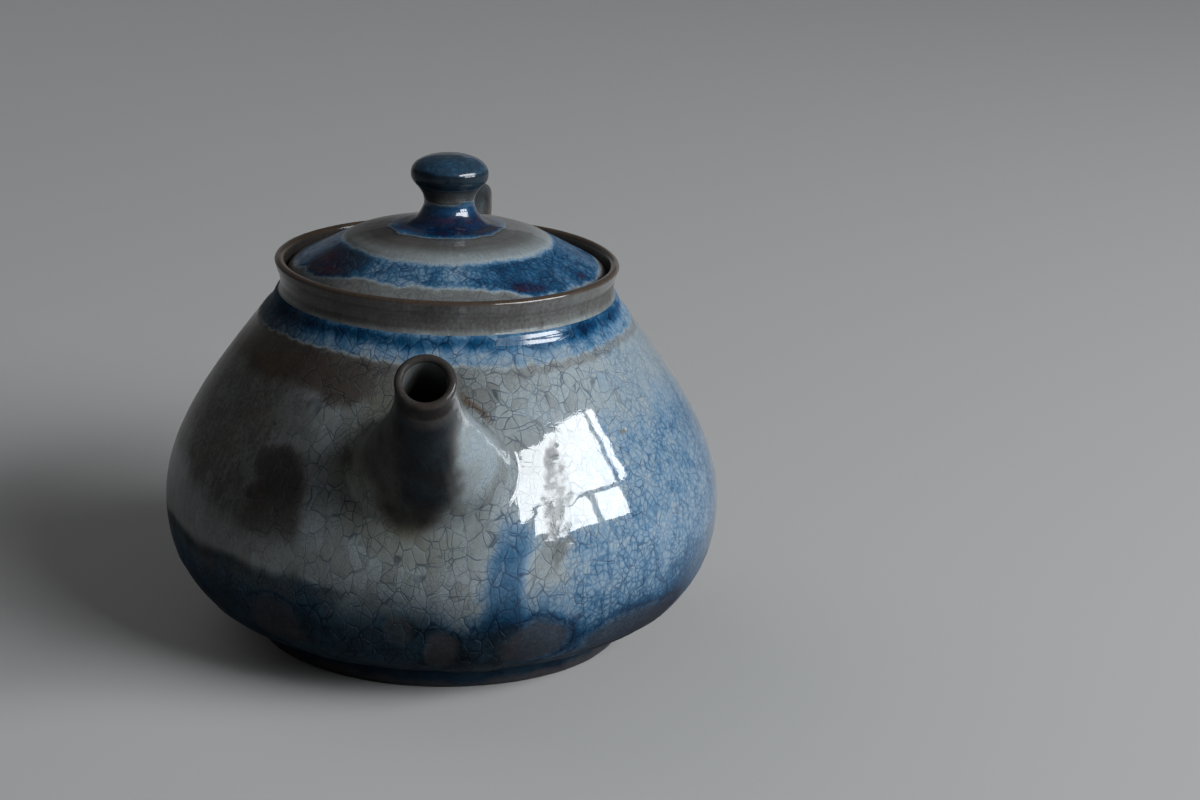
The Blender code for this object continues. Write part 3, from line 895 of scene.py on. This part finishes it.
def make_spout():
    way = SPOUT_WAY
    side = np.array([0.0, 1.0, 0.0])
    up = np.cross(way, side)
    count = 140

    def tube(depth, radius):
        return oval(SPOUT_TIP - way * depth, side, up, radius, radius, count)

    bore = [tube(d, SPOUT_BORE + 1.2 * (d / BORE_DEPTH) ** 2) for d in np.linspace(BORE_DEPTH, 0.9, 26)]
    lip_middle, lip_half = (SPOUT_RADIUS + SPOUT_BORE) / 2, (SPOUT_RADIUS - SPOUT_BORE) / 2
    lip = [tube(0.75 - 0.75 * math.sin(b), lip_middle - lip_half * math.cos(b))
           for b in np.linspace(0, math.pi, 13)]
    outer = [tube(d, SPOUT_RADIUS - 0.12 * ramp(d, 0, 3) + SPOUT_FLARE * (d / SPOUT_FREE) ** 2)
             for d in np.arange(1.2, SPOUT_FREE + 0.2, 0.5)]
    outwards = math.atan(2 * SPOUT_FLARE / SPOUT_FREE)
    ring_ways = radial_ways(outer[-1], SPOUT_TIP - way * SPOUT_FREE, -way, outwards)
    lift = 1.5 + 3.5 * np.cos(angles_round(count)) ** 2
    root = run_out(outer[-1], ring_ways, turn=0.0, done=done_at(48.2), half_side=16.6, half_up=13.0,
                   rows=60, reach=8.0, settle=3.6, lift=lift, fillet=2.6)
    grid = np.concatenate([np.array(bore + lip + outer), root], 0)

    depth = (SPOUT_TIP - grid) @ way
    clear = clearance(grid)
    y = grid[..., 1]
    drift = rough_noise(grid, 6, 31)
    # painted light and shade: the side of the tube towards the light (+Y) is paler, the far side thinner and
    # darker
    lit_side = ramp(y + 0.8 * drift, 2.4, 7.2)
    shaded = mix(0.20, 0.09, ramp(y, -7, -2.5))
    thick = mix(shaded, mix(0.30, 0.50, ramp(depth, 9, 17)), lit_side) + 0.03 * drift
    thick = mix(thick, 0.26, band(depth + 0.8 * drift, 4.6, 7.4, 1.4) * ramp(y, -5, -1) * 0.7)
    thick = mix(thick, 0.06, band(depth, 1.2, 3.6, 1.0) * (1 - 0.6 * lit_side))
    thick = mix(thick, 0.17, ramp(depth, 1.0, 0.2))
    # painted shade on the tube's side away from the light
    murk = mix(0.60 * (1 - lit_side) * ramp(depth, 4.5, 8.5) * ramp(y, -7, -3), 0.45, ramp(depth, 1.2, 0.4))
    own = even(grid.shape[:2], thick=thick, murk=murk, dull=mix(0.93, 0.35, lit_side),
               stain=0.25 * ramp(depth, 1.2, 0.2), mottle=0.35, craze=0.30)
    in_bore = slice(0, len(bore))
    # the bore turns browner and darker the further in it goes
    stain = mix(0.05, 0.55, ramp(depth[in_bore], 4.0, 12.0))
    inner = even(depth[in_bore].shape, thick=0.36, stain=stain, dull=0.5, mottle=0.35, craze=0.30)
    fields = blend_fields(glaze_on_wall(grid), own, ramp(clear, 3.0, 11.0))
    take_rows(fields, in_bore, inner)
    lumps = 0.10 * rough_noise(grid, 7, 33, 2) * ramp(clear, 1.0, 8.0)
    grid = grid + normals_of(grid) * lumps[..., None]
    add_piece("spout_tube", grid, fields, GLAZE, "pot", ["spout"], closed_rows=True)


def make_handle():
    first, second = (bezier(*part, 60) for part in HANDLE_LINE)
    line = respace(np.vstack([first, second[1:]]), 0.8)
    clear = -line[:, 0] - np.interp(line[:, 1], WALL_LINE[:, 1], WALL_LINE[:, 0])
    start = int(np.argmax(clear > 5.5))
    stop = len(line) - int(np.argmax(clear[::-1] > 5.5))
    line = line[start:stop]
    share = np.linspace(0, 1, len(line))
    tangent = np.gradient(line, axis=0)
    tangent /= np.linalg.norm(tangent, axis=1)[:, None]
    side = np.array([0.0, 1.0, 0.0])
    count = 96
    rings = []
    for (x, z), (tx, tz), s in zip(line, tangent, share):
        way = np.array([tx, 0.0, tz])
        swell = 1 + 0.22 * abs(2 * s - 1) ** 5
        half = HANDLE_WIDTH / 2 * (1.02 - 0.14 * s) * swell
        thin = HANDLE_THICKNESS / 2 * (1 - 0.06 * math.sin(math.pi * s)) * swell
        rings.append(oval(np.array([x, 0.0, z]), side, np.cross(side, way), half, thin, count, 2.6))
    ways = [np.array([t[0], 0.0, t[1]]) for t in (tangent[0], tangent[-1])]
    at_back = {"turn": 180.0, "rows": 22, "reach": 3.6, "settle": 3.0}
    top_root = run_out(rings[0], -ways[0], done=done_at(60.2), half_side=-9.4, half_up=6.6, **at_back)[::-1]
    foot_root = run_out(rings[-1], ways[1], done=done_at(31.5), half_side=-8.4, half_up=-8.0, **at_back)
    grid = np.concatenate([top_root, np.array(rings), foot_root], 0)
    clear = clearance(grid)
    drift = rough_noise(grid, 12, 34)
    ripple = rough_noise(grid, 4, 35)
    edge = np.abs(grid[..., 1]) / (HANDLE_WIDTH / 2)
    # painted shade: the top of the handle, in shade behind the lid, is thinner and darker
    top = ramp(grid[..., 2], 68, 75)
    own = even(grid.shape[:2], mottle=0.6, craze=0.35, murk=0.60 * top, dull=0.45 + 0.25 * top,
               thick=0.33 + 0.12 * drift + 0.05 * ripple - 0.16 * ramp(edge, 0.72, 0.95) - 0.16 * top,
               stain=0.30 * ramp(edge + 0.1 * ripple, 0.80, 1.0))
    fields = blend_fields(glaze_on_wall(grid), own, ramp(clear, 0.8, 5.0))
    lumps = 0.16 * rough_noise(grid, 10, 36, 2) * ramp(clear, 1.5, 6.0)
    grid = grid + normals_of(grid) * lumps[..., None]
    add_piece("strap_handle", grid, fields, GLAZE, "pot", ["handle"])


make_wall()
make_spout()
make_handle()


# ---------------------------------------------------------------- foot and collar
def rounded(corners, radius, steps=4):
    """A closed outline with its corners cut by small curves."""
    made = []
    for i, corner in enumerate(corners):
        corner = np.array(corner, float)
        before = np.array(corners[i - 1], float) - corner
        after = np.array(corners[(i + 1) % len(corners)], float) - corner
        start, end = (side * min(radius / np.linalg.norm(side), 0.45) for side in (before, after))
        for t in np.linspace(0, 1, steps + 1):
            made.append(corner + (1 - t) ** 2 * start + t ** 2 * end)
    return np.array(made)


def close_ring(outline, spacing):
    """A closed outline, evenly spaced, without its repeated last point."""
    return respace(np.vstack([outline, outline[:1]]), spacing)[:-1]


def make_foot():
    inner = FOOT_RADIUS - 5.5
    corners = [(inner + 0.3, 0.0), (FOOT_RADIUS - 0.1, 0.0), (FOOT_RADIUS + 0.3, 3.0),
               (FOOT_RADIUS + 1.4, 5.2), (inner - 1.4, 5.2), (inner - 0.4, 3.0)]
    outline = close_ring(rounded(corners, 0.9), 0.5)
    grid = spun(outline, 420)
    outside = ramp(radius_of(grid), FOOT_RADIUS - 1.2, FOOT_RADIUS)
    glazed = outside * ramp(grid[..., 2] + 0.8 * rough_noise(grid, 6, 41), 1.0, 2.4)
    fields = even(grid.shape[:2], thick=0.92, mottle=0.4, craze=0.2, murk=0.7, bare=1 - glazed,
                  dull=mix(0.5, 0.95, glazed))
    grid = pushed_out(grid, 0.12 * rough_noise(grid, 9, 42) + 0.20 * glazed)
    add_piece("foot", grid, fields, GLAZE, "pot", ["foot_ring"], closed_rows=True)


def make_collar():
    bottom = WALL_TOP - 0.5
    inner = COLLAR_RADIUS - 1.9
    outside = bezier((SHOULDER_RADIUS + 0.1, bottom), (COLLAR_RADIUS - 1.7, 70.4),
                     (COLLAR_RADIUS - 1.0, 72.2), (COLLAR_RADIUS, COLLAR_TOP - 0.75), 24)
    rim = arc((COLLAR_RADIUS - 0.95, COLLAR_TOP - 0.75), (0.95, 0.75), 0, 180, 12)
    seat = rounded([(inner, COLLAR_TOP - 1.2), (inner, LEDGE_HEIGHT), (MOUTH_RADIUS, LEDGE_HEIGHT),
                    (MOUTH_RADIUS, bottom)], 0.6)[5:-5]
    outline = np.vstack([[(MOUTH_RADIUS, bottom)], outside, rim[1:], seat])
    outline = close_ring(outline, 0.32)
    grid = spun(outline, 640)
    turn, radius, height = turn_of(grid), radius_of(grid), grid[..., 2]
    drift = rough_noise(grid, 9, 51)
    ripple = rough_noise(grid, 2.5, 52)
    outside_share = ramp(radius, COLLAR_RADIUS - 2.0, COLLAR_RADIUS - 1.3)
    inside_share = 1 - outside_share
    # painted light: the collar is paler on the side towards the light, darker away from it
    lit = ramp(apart(turn, 62), 130, 20)
    thick = 0.185 + 0.105 * lit + 0.03 * drift + 0.02 * ripple
    low = ramp(height, bottom + 1.8, bottom + 0.7) * outside_share
    thick = mix(thick, 0.44, low * (0.55 + 0.45 * ramp(drift, -0.4, 0.6)))
    thick = thick - 0.05 * (hump(height, 72.3, 0.25) * outside_share)
    lip = ramp(height, COLLAR_TOP - 0.9, COLLAR_TOP - 0.25)
    thick = mix(thick, 0.12, lip)
    stain = 0.7 * lip * (0.75 + 0.25 * ripple) + 0.12 * inside_share
    below_rim = ramp(height, LEDGE_HEIGHT + 1.4, LEDGE_HEIGHT + 0.3)
    on_seat = inside_share * below_rim * ramp(height, bottom - 1, LEDGE_HEIGHT - 1)
    dull = np.maximum(0.5 * (1 - lit), 0.85 * ramp(height, 73.2, 72.0) * outside_share * lit)
    fields = even(grid.shape[:2], thick=thick, stain=np.clip(stain, 0, 1), bare=on_seat, dull=dull,
                  mottle=0.55, craze=0.25)
    wave = 0.10 * rough_noise(grid, 14, 53, 2) + 0.035 * np.sin(height * 2 * np.pi / 1.7) * outside_share
    grid = pushed_out(grid, wave * ramp(height, bottom, bottom + 1))
    add_piece("collar", grid, fields, GLAZE, "pot", ["rim_collar"], closed_rows=True)


make_foot()
make_collar()


# ---------------------------------------------------------------- the lid
def crown_outline():
    """The lid's upper side, from the rounded edge to the axis."""
    edge = arc((LID_RADIUS - 0.9, LID_UNDERSIDE + 1.3), (0.9, 0.95), -60, 75, 8)
    slope = bezier((LID_RADIUS - 0.7, LID_UNDERSIDE + 2.35), (27.0, 75.7), (23.5, 77.4), LID_BREAK, 24)
    crown = bezier(LID_BREAK, (15.0, 81.6), (8.0, 82.2), (0.0, 83.0), 24)
    return np.vstack([edge, slope, crown[1:]])


CROWN_LINE = crown_outline()


def crown_height(radius):
    line = CROWN_LINE[np.argsort(CROWN_LINE[:, 0])]
    return np.interp(radius, line[:, 0], line[:, 1])


# Dark blots in the blue band of the lid: (turn, radius, half width, how thick)
BLOTS = (
    (-56.0, 27.2, 4.6, 0.26),
    (-66.0, 25.0, 4.0, 0.18),
    (33.0, 27.4, 2.4, 0.15),
    (40.0, 27.8, 2.2, 0.13),
    (69.0, 28.0, 2.2, 0.12),
    (148.0, 27.0, 4.0, 0.18),
    (-160.0, 25.5, 4.5, 0.20),
)


def glaze_on_lid(points):
    turn, radius = turn_of(points), radius_of(points)
    drift = rough_noise(points, 8, 61)
    ripple = rough_noise(points, 2.6, 62)
    # painted light: the lid is paler on the side towards the light
    lit = ramp(turn_from(turn, 20), -110, 0) * ramp(turn_from(turn, 20), 170, 60)
    thick = mix(0.15, 0.29, lit) + 0.03 * drift
    thick = mix(thick, 0.47, ramp(radius + 0.3 * ripple, 13.0, 19.2) ** 1.6 * mix(0.5, 1.0, lit))

    # the blue band, wider on the right and at the back left than in front
    side = ramp(apart(turn, -10), 26, 60)
    outer_edge = 26.4 + 3.2 * side + 0.7 * ripple + 0.7 * drift
    blue = ramp(radius + 0.25 * ripple, 19.4, 21.3) * (1 - ramp(radius, outer_edge - 1.1, outer_edge + 0.9))
    front_right = ramp(apart(turn, 42), 34, 10)
    front_left = ramp(apart(turn, -58), 26, 8)
    right_side = ramp(apart(turn, 95), 48, 20)
    back = ramp(apart(turn, 185), 70, 30)
    depth = 0.665 + 0.035 * drift
    depth = mix(depth, 0.76, front_right)
    depth = mix(depth, 0.86, front_left)
    depth = mix(depth, 0.725, right_side)
    depth = mix(depth, 0.50, back * 0.8)
    thick = mix(thick, depth, blue)
    outer = ramp(radius, outer_edge - 0.4, outer_edge + 0.9)
    thick = mix(thick, 0.385 + 0.02 * ripple - 0.10 * ramp(apart(turn, -75), 50, 20), outer)
    stain = 0.35 * ramp(radius, LID_RADIUS - 1.4, LID_RADIUS - 0.4)
    purple = np.zeros_like(thick)
    for blot_turn, blot_radius, half, amount in BLOTS:
        across = arc_length(turn_from(turn, blot_turn), radius)
        far = np.hypot(across, (radius - blot_radius) * 1.5) / half + 0.30 * ripple
        near = np.exp(-far ** 2 * 1.3)
        thick = thick + amount * near
        purple = np.maximum(purple, near)

    # the pool round the knob's foot
    pool_edge = radius + 0.8 * drift + 0.5 * ripple
    pool = ramp(pool_edge, 11.2, 10.7)
    pool_depth = mix(0.74, 0.93, ramp(radius, 10.8, 9.0)) + 0.05 * ripple
    thick = mix(thick, pool_depth, pool)
    purple = np.maximum(purple, pool * ramp(ripple, 0.1, 0.6))
    shaded = ramp(turn_from(turn, -100), -60, 0) * ramp(turn_from(turn, -100), 90, 30)
    # painted shade darkens the front left of the blue band; a thin dark ring also marks the pool's edge
    murk = highest(0.60 * front_left * ramp(radius, 19.0, 21.0), 0.65 * band(pool_edge, 11.0, 11.3, 0.5))
    return even(
        thick.shape,
        thick=thick,
        murk=murk,
        mottle=mix(0.35, 0.85, np.maximum(blue, pool)),
        craze=np.maximum(mix(0.10, 0.95, blue), 0.65 * outer),
        stain=np.clip(stain + 0.14 * outer, 0, 1),
        purple=np.clip(purple * ramp(thick, 0.70, 0.86), 0, 1) * 0.8,
        dull=np.maximum(0.75 * shaded, 0.75 * ramp(turn, 48, 78) * ramp(radius, 18, 21)),
    )


def make_lid_plate():
    inner = FLANGE_RADIUS - FLANGE_WALL
    under = [(0.0, 79.6), (10.0, 79.2), (18.5, 76.6), (inner - 1.2, 74.0), (inner, LID_UNDERSIDE),
             (LID_RADIUS - 0.45, LID_UNDERSIDE)]
    outline = joined((under, COARSE), (CROWN_LINE, 0.40))
    under_rows = len(respace(under, COARSE))
    grid = spun(outline, 480)
    fields = even(grid.shape[:2], thick=0.10, bare=1.0, mottle=0.3, craze=0.0)
    top = slice(under_rows - 1, None)
    on_top = glaze_on_lid(grid[top])
    take_rows(fields, top, on_top)
    radius = radius_of(grid[top])
    relief = 0.40 * (on_top["thick"] - 0.3) + 0.05 * rough_noise(grid[top], 7, 63)
    relief = relief + 0.018 * np.sin(radius * 2 * np.pi / 2.3) - 0.16 * hump(radius, 20.6, 0.8)
    relief = relief * ramp(radius, 1, 4) * ramp(radius, LID_RADIUS, LID_RADIUS - 1.2)
    grid[top][..., 2] += relief
    disc = add_piece("lid_disc", grid, fields, GLAZE, "lid", ["lid_plate"])
    pierce(disc, VENT_RADIUS)


def make_lid_flange():
    top, bottom = LID_UNDERSIDE + 0.6, flange_low[2]
    inner = FLANGE_RADIUS - FLANGE_WALL
    corners = [(inner, top), (inner + 0.3, bottom), (FLANGE_RADIUS - 0.4, bottom), (FLANGE_RADIUS, top)]
    outline = close_ring(rounded(corners, 0.8), 0.5)
    grid = spun(outline, 300)
    grid = pushed_out(grid, 0.05 * np.sin(grid[..., 2] * 2 * np.pi / 1.3) + 0.05 * rough_noise(grid, 5, 64))
    add_piece("lid_skirt", grid, {}, CLAY, "lid", ["lid_flange"], closed_rows=True)


def make_knob():
    reach = 9.2
    skirt = bezier((reach, crown_height(reach) + 0.02), (7.2, crown_height(7.2) + 0.1), (5.4, 84.2),
                   (4.95, 86.2), 14)
    neck = bezier((4.95, 86.2), (4.7, 87.8), (5.3, 88.9), (6.55, 90.2), 12)
    side = bezier((6.55, 90.2), (7.3, 91.0), (KNOB_RADIUS, 91.5), (KNOB_RADIUS, 92.5), 8)
    cap = bezier((KNOB_RADIUS, 92.5), (KNOB_RADIUS, 94.6), (4.6, KNOB_TOP), (0.0, KNOB_TOP), 20)
    base = [(0.0, 81.2), (reach + 0.35, crown_height(reach + 0.35) - 0.35),
            (reach, crown_height(reach) + 0.02)]
    outline = joined((base, 0.8), (np.vstack([skirt, neck[1:], side[1:], cap[1:]]), 0.28))
    grid = spun(outline, 220)
    radius, height = radius_of(grid), grid[..., 2]
    drift = rough_noise(grid, 4.5, 71)
    ripple = rough_noise(grid, 1.5, 72)
    under_cap = ramp(height + 0.3 * drift, 90.3, 89.9)
    thick = mix(0.97, 0.24, under_cap) + 0.03 * drift
    neck_blue = ramp(height + 0.5 * drift, 87.4, 86.9)
    thick = mix(thick, 0.82 + 0.04 * drift, neck_blue)
    thick = mix(thick, 0.93, ramp(height + 0.3 * ripple, 85.6, 84.2))
    top = ramp(height + 0.45 * drift + 0.2 * ripple, 93.2, 93.6)
    thick = mix(thick, 0.755 + 0.05 * drift + 0.04 * ripple, top)
    murk = mix(mix(0.80, 0.50, top), 0.35 * ramp(height, 86.5, 88.5), ramp(height, 90.0, 89.2))
    fields = even(grid.shape[:2], thick=thick, craze=0.15, mottle=mix(0.5, 0.85, top),
                  purple=0.5 * ramp(height, 85.6, 84.0) * ramp(ripple, 0.0, 0.6),
                  olive=0.14 * top * ramp(drift, -0.3, 0.5),
                  murk=np.maximum(murk, 0.7 * band(height + 0.5 * drift, 87.0, 87.4, 0.4)),
                  dull=0.60 * ramp(height, 86.5, 88.0) * (1 - 0.6 * top))
    fields = blend_fields(fields, glaze_on_lid(grid), ramp(height, 84.2, 83.0) * ramp(radius, 5, 7))
    relief = 0.06 * rough_noise(grid, 3.2, 73, 2) * ramp(radius, 0.5, 2.0) * ramp(height, 82.6, 84.5)
    grid = grid + normals_of(grid) * relief[..., None]
    knob = add_piece("knob", grid, fields, GLAZE, "lid", ["lid_knob"])
    pierce(knob, VENT_RADIUS + 0.05)


make_lid_plate()
make_lid_flange()
make_knob()


# ---------------------------------------------------------------- the strainer stays as the CAD has it
def dress_strainer():
    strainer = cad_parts["spout_strainer"]
    strainer.data.materials.clear()
    strainer.data.materials.append(crackle_glaze("inner_glaze", thick=0.36, mottle=0.4, craze=0.3))


# ---------------------------------------------------------------- studio
CAMERA_PLACE = Vector((537.0, 24.4, 214.3)) * MM
CAMERA_AIM = Vector((-1.4, 30.8, 46.9)) * MM
CAMERA_ROLL = math.radians(2.21)
LENS = 85.0
WINDOW_TURN = math.radians(53)
WINDOW_DISTANCE = 1.1
WINDOW_RADIANCE = 18.0
# The window's panes: (left, right, low, high), as shares of the distance
WINDOW_PANES = (
    (-0.30, 0.64, 0.47, 0.85),
    (0.70, 0.80, 0.47, 0.85),
    (-0.08, 0.27, 0.17, 0.42),
    (0.33, 0.62, 0.17, 0.42),
)
FILL_TURN, FILL_RISE = math.radians(-130), math.radians(38)      # a weak, broad light on the far side
FILL_DISTANCE, FILL_SIZE, FILL_RADIANCE = 1.5, 1.5, 0.7
FLOOR_COLOUR = (0.33, 0.325, 0.32, 1)
FLOOR_HALF, FLOOR_BACK, FLOOR_BEND = 2.2, 1.1, 0.5               # the floor bends up behind, in metres


def aimed(place, aim, roll=0.0):
    """A matrix at place whose -Z points at aim."""
    turn = (aim - place).to_track_quat("-Z", "Y").to_matrix().to_4x4()
    return Matrix.Translation(place) @ turn @ Matrix.Rotation(roll, 4, "Z")


def soft_light(name, place, aim, size, power, colour):
    lamp = bpy.data.lights.new(name, "AREA")
    lamp.shape = "RECTANGLE"
    lamp.size, lamp.size_y = size
    lamp.energy = power
    lamp.color = colour
    made = placed(name, lamp)
    made.matrix_world = aimed(Vector(place), Vector(aim))
    return made


def make_studio():
    data = bpy.data.cameras.new("camera")
    data.lens = LENS
    data.sensor_width = 36.0
    data.clip_start, data.clip_end = 0.02, 20.0
    camera = placed("camera", data)
    camera.matrix_world = aimed(CAMERA_PLACE, CAMERA_AIM, CAMERA_ROLL)
    bpy.context.scene.camera = camera

    bm = bmesh.new()
    half, back, bend = FLOOR_HALF, FLOOR_BACK, FLOOR_BEND
    sweep = [(half, 0.0), (-back, 0.0)]
    for i in range(1, 17):
        a = math.pi / 2 * i / 16
        sweep.append((-back - bend * math.sin(a), bend - bend * math.cos(a)))
    rows = [[bm.verts.new((x, y, z)) for x, z in sweep] for y in (-half, half)]
    for i in range(len(sweep) - 1):
        bm.faces.new((rows[0][i], rows[1][i], rows[1][i + 1], rows[0][i + 1]))
    bmesh.ops.recalc_face_normals(bm, faces=bm.faces)
    mesh = mesh_from("floor", bm)
    mesh.shade_smooth()
    mesh.materials.append(Nodes("pale_floor").surface({"Base Color": FLOOR_COLOUR, "Roughness": 0.85}))
    made = placed("floor", mesh)

    way = Vector((math.cos(WINDOW_TURN), math.sin(WINDOW_TURN), 0))
    side = Vector((-math.sin(WINDOW_TURN), math.cos(WINDOW_TURN), 0))
    for left, right, low, high in WINDOW_PANES:
        width, height = (right - left) * WINDOW_DISTANCE, (high - low) * WINDOW_DISTANCE
        place = way * WINDOW_DISTANCE + side * (left + right) / 2 * WINDOW_DISTANCE
        place.z = 0.05 + (low + high) / 2 * WINDOW_DISTANCE
        soft_light("window_pane", place, place - way, (width, height),
                   WINDOW_RADIANCE * math.pi * width * height, (0.93, 0.97, 1.0))

    side = Vector((math.cos(FILL_TURN), math.sin(FILL_TURN), math.tan(FILL_RISE))).normalized()
    fill = soft_light("fill", side * FILL_DISTANCE, Vector((0, 0, 0.05)), (FILL_SIZE, FILL_SIZE),
                      FILL_RADIANCE * math.pi * FILL_SIZE ** 2, (0.97, 0.98, 1.0))
    fill.visible_glossy = False

    world = bpy.data.worlds.new("studio")
    world.use_nodes = True
    sky = world.node_tree.nodes["Background"].inputs
    sky["Color"].default_value = (0.80, 0.82, 0.85, 1)
    sky["Strength"].default_value = 0.09
    bpy.context.scene.world = world
    bpy.context.scene.view_settings.view_transform = "Standard"


dress_strainer()
make_studio()
